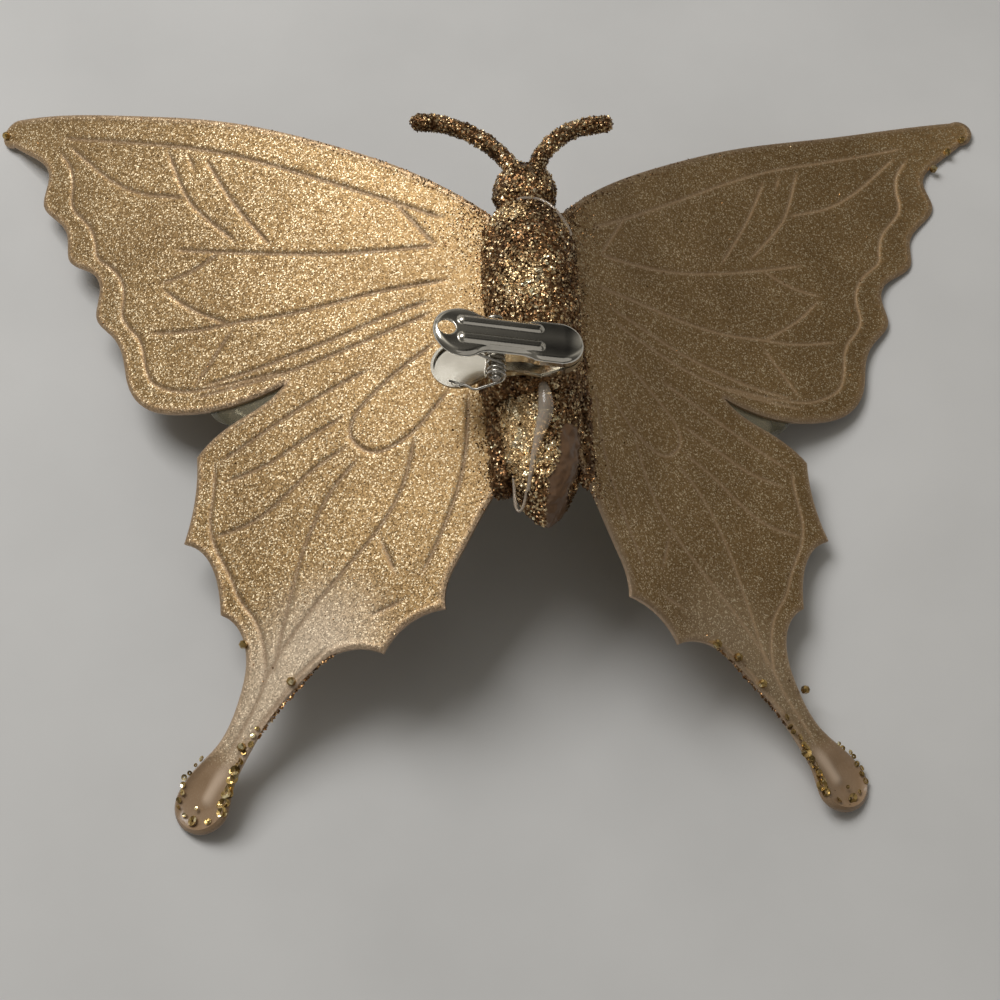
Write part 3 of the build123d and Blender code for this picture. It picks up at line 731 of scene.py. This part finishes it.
def crowned(name, node_name):
    """The stamped lever with its plate crowned across, where the CAD plate is flat."""
    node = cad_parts[node_name]
    matrix = node.matrix_world.copy()
    piece = remeshed(name, node, PLATE_VOXEL, PLATE_SMOOTHING)
    piece.matrix_world = matrix
    mesh = piece.data
    up = PLATE_UP.normalized()
    along = (PLATE_ALONG - up * PLATE_ALONG.dot(up)).normalized()
    across = up.cross(along)
    for vertex in mesh.vertices:
        spot = matrix @ vertex.co / MM - PLATE_HOLE
        width = min(abs(spot.dot(across)), PLATE_HALF_WIDTH)
        depth = min(max(1 + spot.dot(up) / PLATE_FADE, 0.0), 1.0)
        sag = PLATE_CROWN * (width / PLATE_HALF_WIDTH) ** 2 * depth
        vertex.co -= matrix.to_3x3().inverted() @ (up * sag * MM)
    mesh.update()
    mesh.shade_smooth()
    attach(piece, "lever")
    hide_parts(node_name)
    return piece


# Flakes and sequins: shares of their size, and lifts and thicknesses in millimetres
CHIP_PEAK = 0.18
FLAKE_LEAST = 0.6
FLAKE_RANGE = 0.8
FLAKE_TILT = 0.45
SEQUIN_CUP = 0.12
SEQUIN_THICKNESS = 0.12
SEQUIN_LEAST = 0.8
SEQUIN_RANGE = 0.5
SEQUIN_LIFT = 0.35
SEQUIN_TILT = 0.3
THREAD_STEP = 0.4
ROUND_SIDES = 10


def chips(name, spots, normals, sizes, tilt, rng):
    """Thin four-sided flakes with a low peak on either face, each turned its own way."""
    count = len(spots)
    facing = normals + rng.normal(0, tilt, (count, 3))
    facing /= np.linalg.norm(facing, axis=1)[:, None]
    first = np.cross(facing, rng.normal(0, 1, (count, 3)))
    first /= np.linalg.norm(first, axis=1)[:, None]
    second = np.cross(facing, first)
    radius = sizes[:, None] * MM / 2
    peak = facing * radius * CHIP_PEAK
    offsets = [first * radius, second * radius, -first * radius, -second * radius, peak, -peak]
    vertices = np.stack([spots + offset for offset in offsets], axis=1).reshape(-1, 3)
    pattern = [(0, 1, 4), (1, 2, 4), (2, 3, 4), (3, 0, 4), (1, 0, 5), (2, 1, 5), (3, 2, 5), (0, 3, 5)]
    faces = (np.arange(count)[:, None, None] * len(offsets) + np.array(pattern)).reshape(-1, 3)
    piece = new_mesh_object(name, vertices, faces.tolist())
    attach(piece, "ornament")
    return piece


def flakes(name, carrier, count, size, lift, seed, keep=None):
    """Loose glitter lying on a piece, more of it where keep gives a higher weight."""
    rng = np.random.default_rng(seed)
    mesh = carrier.data
    mesh.calc_loop_triangles()
    triangles = np.array([t.vertices[:] for t in mesh.loop_triangles])
    corners = np.array([v.co[:] for v in mesh.vertices])[triangles]
    cross = np.cross(corners[:, 1] - corners[:, 0], corners[:, 2] - corners[:, 0])
    area = np.maximum(np.linalg.norm(cross, axis=1), 1e-15)
    normals = cross / area[:, None]
    weight = area if keep is None else area * keep(corners.mean(1), normals)
    chosen = rng.choice(len(triangles), size=count, p=weight / weight.sum())
    share = rng.random((count, 2))
    flip = share.sum(1) > 1
    share[flip] = 1 - share[flip]
    first, second, third = (corners[chosen, i] for i in range(3))
    spots = first + (second - first) * share[:, :1] + (third - first) * share[:, 1:]
    sizes = size * (FLAKE_LEAST + FLAKE_RANGE * rng.random(count))
    return chips(name, spots + normals[chosen] * lift * MM, normals[chosen], sizes, FLAKE_TILT, rng)


def sequin_ring(radius, hole):
    """A cupped ring of the Z axis, in millimetres: its corners and faces."""
    sunk = -SEQUIN_CUP * radius
    rings = [(radius, 0.0), (hole, sunk), (hole, sunk + SEQUIN_THICKNESS), (radius, SEQUIN_THICKNESS)]
    corners, faces = [], []
    for size, height in rings:
        for k in range(ROUND_SIDES):
            a = k * math.tau / ROUND_SIDES
            corners.append((size * math.cos(a), size * math.sin(a), height))
    for ring in range(len(rings)):
        here, after = ring * ROUND_SIDES, (ring + 1) % len(rings) * ROUND_SIDES
        for k in range(ROUND_SIDES):
            onward = (k + 1) % ROUND_SIDES
            faces.append((here + k, after + k, after + onward, here + onward))
    return np.array(corners), faces


def sequins(name, wing, places, sizes, seed):
    """Sequins stuck on a wing at pattern places, each leaning its own way."""
    rng = np.random.default_rng(seed)
    glued = wing.glued(np.array(places, float))
    spots = wing.place(glued, wing.thickness + SEQUIN_LIFT)
    normals = wing.facing(glued) + rng.normal(0, SEQUIN_TILT, (len(glued), 3))
    vertices, faces = [], []
    for spot, normal, size in zip(spots, normals, sizes):
        corners, sides = sequin_ring(size / 2, size / 8)
        turn = Vector(normal).to_track_quat("Z", "Y").to_matrix()
        start = len(vertices)
        vertices += [Vector(spot) + turn @ Vector(corner) * MM for corner in corners]
        faces += [[start + i for i in side] for side in sides]
    piece = new_mesh_object(name, vertices, faces)
    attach(piece, "ornament")
    return piece


def thread(name, points, radii):
    """A round thread of glue through points, in millimetres from the body's middle."""
    line = evenly(smoothed(points), THREAD_STEP)
    width = np.interp(np.linspace(0, 1, len(line)), np.linspace(0, 1, len(radii)), radii)
    ways = np.gradient(line, axis=0)
    vertices, faces = [], []
    across = Vector((1, 0, 0))
    for spot, way, radius in zip(line, ways, width):
        way = Vector(way).normalized()
        across = (across - way * across.dot(way)).normalized()
        other = way.cross(across)
        for k in range(ROUND_SIDES):
            a = k * math.tau / ROUND_SIDES
            corner = Vector(spot) + (across * math.cos(a) + other * math.sin(a)) * radius
            vertices.append((corner + BODY_MIDDLE) * MM)
    for ring in range(len(line) - 1):
        low, high = ring * ROUND_SIDES, (ring + 1) * ROUND_SIDES
        for k in range(ROUND_SIDES):
            onward = (k + 1) % ROUND_SIDES
            faces.append((low + k, low + onward, high + onward, high + k))
    faces.append(tuple(range(ROUND_SIDES))[::-1])
    faces.append(tuple(len(vertices) - ROUND_SIDES + k for k in range(ROUND_SIDES)))
    piece = new_mesh_object(name, vertices, faces)
    piece.data.shade_smooth()
    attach(piece, "ornament")
    return piece


# Materials
# Lit and shaded copies of one sheet material that differ only in vein tone: the shaded wing's paler veins
# are painted highlight.
LIT_SHEET = glitter_sheet("champagne_glitter_left", LIT_VEIN)
SHADED_SHEET = glitter_sheet("champagne_glitter_right", SHADED_WING_PAINTED_VEIN_HIGHLIGHT)
CRUST = coarse_glitter("bronze_glitter", BRONZE_TONES, CRUST_CELLS, CRUST_TILT)
PATCHED_CRUST = coarse_glitter("bronze_glitter_patched", BRONZE_TONES, CRUST_CELLS, CRUST_TILT, BARE_BODY)
GOLD_FLAKE = coarse_glitter("gold_flakes", GOLD_TONES, CHIP_CELLS, 0.3, metallic=0.7, roughness=0.22)
BRONZE_FLAKE = coarse_glitter("bronze_flakes", FLAKE_TONES, CHIP_CELLS, 0.3, roughness=0.24)
STEEL = polished_steel("clip_steel", (0.76, 0.73, 0.66), 0.07)
WIRE = polished_steel("spring_wire", (0.58, 0.55, 0.50), 0.18)
GLUE = clear_plastic("hot_glue", (0.86, 0.74, 0.60), transmission=0.65, roughness=0.12, scale=300.0)
FILM = clear_plastic("olive_film", (0.70, 0.64, 0.45), transmission=0.85, roughness=0.10, scale=120.0)
TRIM = coarse_glitter("gold_trim", TRIM_TONES, CHIP_CELLS, 0.35, roughness=0.2)

# Wings, with loose glitter along the front edge and the root of each
FRONT_EDGE = [(-3, 24), (14.5, 38.8), (37, 52.8), (61, 65.1), (89, 75.9), (113, 84.2)]
FRONT_SPREAD = (0.4, 1.8)
FRONT_FADE = 30.0
ROOT_PATCH = (2.0, 24.0)
ROOT_PATCH_SPREAD = (0.0, 11.0)
PATCH_SHARE = 0.5
ROOT_FADE = 1.6
ROOT_BACK = -44.0
STRAY_SHARE = 0.004


def near_front_and_root(wing):
    """Weights for loose glitter along a wing's front edge and root."""
    front = smoothed(wing.drawn(FRONT_EDGE), 2)

    def weight(points, normals):
        flat = wing.flatten(points[:, :2], wing.thickness)
        out, ahead = flat[:, 0], flat[:, 1]
        along_front = step_down(distance_to_line(flat, front), *FRONT_SPREAD) * np.exp(-out / FRONT_FADE)
        patch = step_down(np.hypot(out - ROOT_PATCH[0], ahead - ROOT_PATCH[1]), *ROOT_PATCH_SPREAD)
        root = np.exp(-np.maximum(out, 0) / ROOT_FADE) * (ahead > ROOT_BACK)
        return (along_front + PATCH_SHARE * patch + root + STRAY_SHARE) * (normals[:, 2] > UP_FACING)
    return weight


for name, wing, sheet_material in (("left", LEFT, LIT_SHEET), ("right", RIGHT, SHADED_SHEET)):
    sheet = wing_piece("sheet_" + name, wing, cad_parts["wing_" + name])
    dress(sheet, sheet_material)
    loose = flakes("edge_flakes_" + name, sheet, count=1900, size=0.42, lift=0.08, seed=31,
                   keep=near_front_and_root(wing))
    dress(loose, BRONZE_FLAKE)

# Body, head, antennae and the glue round them. All of this is in millimetres from the body's middle.
# The bare patch is a line with its spread, above a height.
BARE_PATCH = [(5.4, -31.5), (4.6, -38.0), (2.2, -42.0), (1.8, -47.5)]
BARE_SPREAD = (1.875, 2.5)
BARE_LOWEST = 40.0

# The abdomen's end: where it starts to narrow, over what length, and by what share
POINT_START = -36.0
POINT_LENGTH = 14.0
POINT_DRAW = 0.3

# How far the flank glue is drawn in, and how much further beside the thorax
FLANK_DRAW = 2.3
THORAX_DRAW = 1.1
THORAX_BACK = -18.0
THORAX_RISE = 20.0

# Spots that hold more bright flakes, as painted light on the lit side: out, ahead, stretch along the body,
# the spread's ends, and how much
PAINTED_LIGHT_SPOTS = [(-3.0, 3.0, 1.3, 1.0, 7.0, 1.0), (-4.0, 20.0, 1.0, 1.0, 5.0, 1.0),
                (-4.5, -31.0, 2.4, 2.0, 5.5, 2.2), (1.5, -38.0, 1.6, 1.5, 4.0, 1.0)]
BRIGHT_ELSEWHERE = 0.12


def patch_share(points):
    """How deep in the bare patch near the abdomen's tip each point lies, from 0 to 1."""
    plan = points[:, :2] / MM - np.array(BODY_MIDDLE.xy)
    gap = distance_to_line(plan, np.array(BARE_PATCH))
    return step_down(gap, *BARE_SPREAD) * (points[:, 2] / MM > BARE_LOWEST)


def pointed(spot):
    """The abdomen's end, drawn in to a point."""
    share = min(max((POINT_START - spot.y) / POINT_LENGTH, 0.0), 1.0)
    return Vector((spot.x * (1 - POINT_DRAW * share), spot.y, spot.z))


def tucked(side):
    """The flank glue, drawn in against the body and more so beside the thorax."""
    def reshape(spot):
        share = min(max((spot.y - THORAX_BACK) / THORAX_RISE, 0.0), 1.0)
        return Vector((spot.x - side * (FLANK_DRAW + THORAX_DRAW * share), spot.y, spot.z))
    return reshape


trunk = crusted("body_crust", "body", voxel=0.45, swell=0.4, grain=420.0, seed=3.0, grow=0.0,
                reshape=pointed)
dress(trunk, PATCHED_CRUST)
add_marks(trunk.data, {"bare": patch_share(np.array([v.co[:] for v in trunk.data.vertices]))})
skull = crusted("head_crust", "head", voxel=0.4, swell=0.45, grain=500.0, seed=8.0, grow=0.1)
dress(skull, CRUST)
mound = crusted("mound_crust", "glue_mound", voxel=0.4, swell=0.5, grain=420.0, seed=14.0, grow=0.05)
dress(mound, CRUST)


def off_patch(points, normals):
    return (1 - patch_share(points)) * (normals[:, 2] > -0.6)


def painted_lit_side(points, normals):
    """More bright flakes on the upper left of the thorax and the left of the abdomen, as painted light where
    the light falls.
    """
    out = points[:, 0] / MM - BODY_MIDDLE.x
    ahead = points[:, 1] / MM - BODY_MIDDLE.y
    share = BRIGHT_ELSEWHERE
    for across, along, stretch, near, far, amount in PAINTED_LIGHT_SPOTS:
        gap = np.hypot(out - across, (ahead - along) / stretch)
        share = share + amount * step_down(gap, near, far)
    return share * (1 - patch_share(points)) * (normals[:, 2] > 0.1)


# Loose flakes: name, carrier, count, size, lift and seed, where they lie, and their look
for name, carrier, count, size, lift, seed, keep, material, slot in (
    ("body_flakes_bronze", trunk, 6000, 0.55, 0.1, 1, off_patch, BRONZE_FLAKE, "glitter_body"),
    # Gold flakes gathered on the lit side are painted light
    ("body_flakes_gold", trunk, 5600, 0.62, 0.2, 4, painted_lit_side, GOLD_FLAKE, "glitter_body"),
    ("head_flakes", skull, 1100, 0.5, 0.1, 2, None, BRONZE_FLAKE, "glitter_body"),
    ("head_flakes_gold", skull, 1300, 0.55, 0.15, 3, None, GOLD_FLAKE, "glitter_body"),
    ("mound_flakes", mound, 900, 0.55, 0.1, 6, None, BRONZE_FLAKE, "glitter_glue"),
):
    dress(flakes(name, carrier, count, size, lift, seed, keep), material)
for side, wing in WINGS.items():
    seam = crusted("flank_crust_" + side, "flank_glue_" + side, voxel=0.4, swell=0.6, grain=500.0, seed=12.0,
                   grow=0.2, reshape=tucked(wing.side))
    dress(seam, CRUST)
    loose = flakes("flank_flakes_" + side, seam, count=1500, size=0.5, lift=0.15, seed=7)
    dress(loose, BRONZE_FLAKE)
    feeler = crusted("antenna_flock_" + side, "antenna_" + side, voxel=0.3, swell=0.35, grain=900.0,
                     seed=20.0, grow=0.0)
    dress(feeler, CRUST)
    loose = flakes("antenna_flakes_" + side, feeler, count=550, size=0.5, lift=0.1, seed=5)
    dress(loose, BRONZE_FLAKE)
    loose = flakes("antenna_gold_" + side, feeler, count=480, size=0.5, lift=0.15, seed=9)
    dress(loose, GOLD_FLAKE)

# Dark specks that stand out from the front face along the stem's inner edge
SPECKED_EDGE = [(36.0, -67.2), (39.9, -68.8), (44.7, -72.9), (50.7, -77.8), (54.5, -81.8)]
SPECK_STEP = 0.22
SPECK_SHARE = 0.75
SPECK_SHIFT = 0.2
SPECK_SCATTER = 0.12
SPECK_LOWEST = 0.2
SPECK_LEAST = 0.5
SPECK_RANGE = 0.5
SPECK_TILT = 0.6


def edge_specks(name, wing, seed):
    """Specks of glitter and glue that stand out from the front face past the sheet's edge."""
    rng = np.random.default_rng(seed)
    spots = evenly(smoothed(wing.drawn(SPECKED_EDGE)), SPECK_STEP)
    spots = spots[rng.random(len(spots)) < SPECK_SHARE] + rng.normal(0, SPECK_SHIFT, (1, 2))
    scattered = spots + rng.normal(0, SPECK_SCATTER, spots.shape)
    lifts = SPECK_LOWEST + SPECK_RANGE * rng.random(len(spots))
    sizes = SPECK_LEAST + SPECK_RANGE * rng.random(len(spots))
    return chips(name, wing.place(scattered, lifts), wing.facing(spots), sizes, SPECK_TILT, rng)


for side, wing in WINGS.items():
    dress(edge_specks("edge_specks_" + side, wing, seed=50), BRONZE_FLAKE)

# The glue that has run down over the abdomen, thick at the top
RUN = [(-0.4, -20.5, 55.8), (0.2, -24.0, 55.7), (0.3, -28.0, 54.7), (-1.2, -32.0, 53.4), (-2.4, -35.5, 52.3),
       (-3.2, -39.0, 50.8), (-4.1, -43.3, 48.4)]
run = thread("glue_run", RUN, [0.5, 1.3, 1.7, 1.6, 1.1, 0.8, 0.62, 0.5, 0.42])
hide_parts("glue_strand_tail")
dress(run, GLUE)

# The glue thread that hangs in a loop beside the abdomen's tip
LOOP = [(-3.3, -37.5, 49.3), (-4.2, -42.5, 47.5), (-4.9, -45.4, 45.6), (-6.0, -46.6, 44.8),
        (-6.7, -44.6, 45.0), (-6.6, -40.5, 45.8), (-6.8, -34.0, 47.4)]
dress(thread("glue_loop", LOOP, [0.42, 0.34, 0.3, 0.34, 0.3]), GLUE)

# Sequins round the tail ends: rows as (from, to, how many, size), how far each may lie off its row, and
# single ones
INNER_EDGE = [((63.6, -96.2), (61.8, -91.8), 8, 2.0), ((61.6, -92.0), (59.2, -86.8), 7, 1.9),
              ((58.6, -86.0), (54.4, -80.4), 5, 1.3)]
OUTER_EDGE = [((74.3, -92.6), (72.8, -88.6), 4, 1.2), ((72.0, -87.2), (68.4, -84.4), 4, 1.1)]
ROW_SCATTER = 0.35
SINGLES = [(70.4, -96.6, 2.3), (66.6, -97.4, 1.5), (69.4, -94.2, 0.9), (72.4, -95.0, 1.0)]


def tail_sequins(name, wing, seed):
    """The rows of sequins and the single ones round a tail's end."""
    rng = np.random.default_rng(seed)
    places, sizes = [], []
    for start, end, count, size in INNER_EDGE + OUTER_EDGE:
        for share in np.linspace(0, 1, count):
            spot = np.array(start) * (1 - share) + np.array(end) * share + rng.normal(0, ROW_SCATTER, 2)
            places.append(spot)
            sizes.append(size * (SEQUIN_LEAST + SEQUIN_RANGE * rng.random()))
    for out, ahead, size in SINGLES:
        places.append(np.array([out, ahead]))
        sizes.append(size)
    piece = sequins(name, wing, places, sizes, seed)
    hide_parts("spangles_" + name.split("_")[-1])
    return piece


for side, wing in WINGS.items():
    dress(tail_sequins("sequins_" + side, wing, seed=40 + wing.side), TRIM)

dress(crowned("finger_plate", "clip_upper"), STEEL)

# The film's inner end: inside this width and behind this line it is drawn forwards by a share
FILM_INNER = 34.0
FILM_BACK = -25.0
FILM_DRAW = 0.3


def tucked_film(side):
    """The film wing with its inner end drawn forwards, so that it ends under the sheet."""
    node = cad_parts["film_" + side]
    piece = copied("film_sheet_" + side, node)
    for vertex in piece.data.vertices:
        spot = vertex.co / MM - BODY_MIDDLE
        if abs(spot.x) < FILM_INNER and spot.y < FILM_BACK:
            vertex.co.y += FILM_DRAW * (FILM_BACK - spot.y) * MM
    piece.data.update()
    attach(piece, "ornament")
    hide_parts(node.name)
    dress(piece, FILM)


for side in WINGS:
    tucked_film(side)

# The spring: one piece in the CAD node's form, with its place baked into its corners
spring = copied("torsion_spring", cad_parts["clip_spring"])
shade(spring.data, METAL_SHARP)
dress(spring, WIRE)
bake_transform(spring)
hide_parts("clip_spring")

# Nodes whose CAD form stays
for name, material, slot in (
    ("clip_lower", STEEL, "steel"), ("clip_pin", WIRE, "spring_steel"),
    ("glue_strand_neck", GLUE, "hot_glue"),
    ("antenna_wire_left", WIRE, "spring_steel"), ("antenna_wire_right", WIRE, "spring_steel"),
    ("beads_left", TRIM, "gold_trim"), ("beads_right", TRIM, "gold_trim"),
):
    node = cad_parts[name]
    dress(node, material)
    shade(node.data, METAL_SHARP)

# The paper underneath, as far as it shows from any side, in metres
PAPER_REACH = 2.0
paper = Nodes(bpy.data.materials.new("paper"))
paper_tint = paper.ramp(paper.noise(18.0, 6.0), [(0.3, (0.60, 0.60, 0.595)), (0.7, (0.66, 0.66, 0.655))])
paper.link(paper_tint, paper.shader.inputs["Base Color"])
paper.set(Roughness=0.85)
corners = [(PAPER_REACH * x, PAPER_REACH * y, 0) for x, y in ((-1, -1), (1, -1), (1, 1), (-1, 1))]
floor = new_mesh_object("paper_floor", corners, [range(len(corners))])
floor.data.materials.append(paper.owner)

# Levels of the room's light over its direction along the body and across it, which run from -1 to 1
ALONG_LEVELS = [(-1.0, 0.22), (-0.5, 0.14), (-0.15, 0.24), (0.05, 0.55), (0.28, 0.95), (0.42, 0.70),
                (0.52, 0.18), (0.60, 0.70), (0.68, 1.0), (0.78, 0.40), (0.84, 0.22), (0.90, 0.75),
                (0.97, 0.30)]
ACROSS_LEVELS = [(-1.0, 0.55), (-0.3, 0.80), (0.10, 1.0), (0.22, 0.55), (0.31, 0.19), (0.36, 0.12),
                 (0.405, 0.045), (0.50, 0.06), (0.70, 0.45), (1.0, 0.45)]
ROOM_TINT = (1.0, 0.95, 0.85)
ROOM_STRENGTH = 0.82
LAMP_TARGET = Vector((0, 0, 0.02))


def lamp(name, place, size, power, colour):
    """A square lamp that shines at the middle of the butterfly."""
    light = bpy.data.lights.new(name, "AREA")
    light.shape = "SQUARE"
    light.size = size
    light.energy = power
    light.color = colour
    holder = linked(name, light)
    holder.location = place
    holder.rotation_euler = (LAMP_TARGET - Vector(place)).to_track_quat("-Z", "Y").to_euler()


def room_light():
    """The room round the object: dark on the tail's side, pale over the head, dim on the right."""
    room = Nodes(bpy.data.worlds.new("room"), "Background")
    parts = room.add("ShaderNodeSeparateXYZ")
    room.link(room.add("ShaderNodeTexCoord").outputs["Generated"], parts.inputs[0])
    sides = []
    for axis, levels, tints in (("Y", ALONG_LEVELS, ROOM_TINT), ("X", ACROSS_LEVELS, grey(1.0))):
        share = room.maths("MULTIPLY_ADD", parts.outputs[axis], 0.5, 0.5)
        stops = [(at * 0.5 + 0.5, tuple(level * tint for tint in tints)) for at, level in levels]
        sides.append(room.ramp(share, stops))
    room.link(room.mix(1.0, *sides, "MULTIPLY"), room.shader.inputs["Color"])
    room.set(Strength=ROOM_STRENGTH)
    bpy.context.scene.world = room.owner


lamp("window", place=(-0.47, 0.43, 0.92), size=0.6, power=7.7, colour=(1.0, 0.99, 0.98))
lamp("fill", place=(0.6, -0.8, 0.9), size=1.0, power=1.0, colour=(1.0, 0.96, 0.90))
room_light()

# The photograph's camera, from its calibration: turns in degrees, lengths in millimetres
CAMERA_TURNS = (-26.0, 5.49, 4.03)
CAMERA_OFFSET = (4.02, 19.34)
CAMERA_DISTANCE = 447.4
CAMERA_VIEW = 30.0
pitch_turn, yaw_turn, roll_turn = (math.radians(angle) for angle in CAMERA_TURNS)
to_camera = (Matrix.Rotation(roll_turn, 3, "Z") @ Matrix.Rotation(pitch_turn, 3, "X")
             @ Matrix.Rotation(yaw_turn, 3, "Y"))
from_camera = to_camera.transposed()
eye = from_camera @ Vector((-CAMERA_OFFSET[0], -CAMERA_OFFSET[1], CAMERA_DISTANCE))
camera = linked("camera", bpy.data.cameras.new("camera"))
camera.data.angle = math.radians(CAMERA_VIEW)
camera.matrix_world = Matrix.Translation((eye + BODY_MIDDLE) * MM) @ from_camera.to_4x4()
bpy.context.scene.camera = camera
bpy.context.scene.view_settings.view_transform = "Standard"
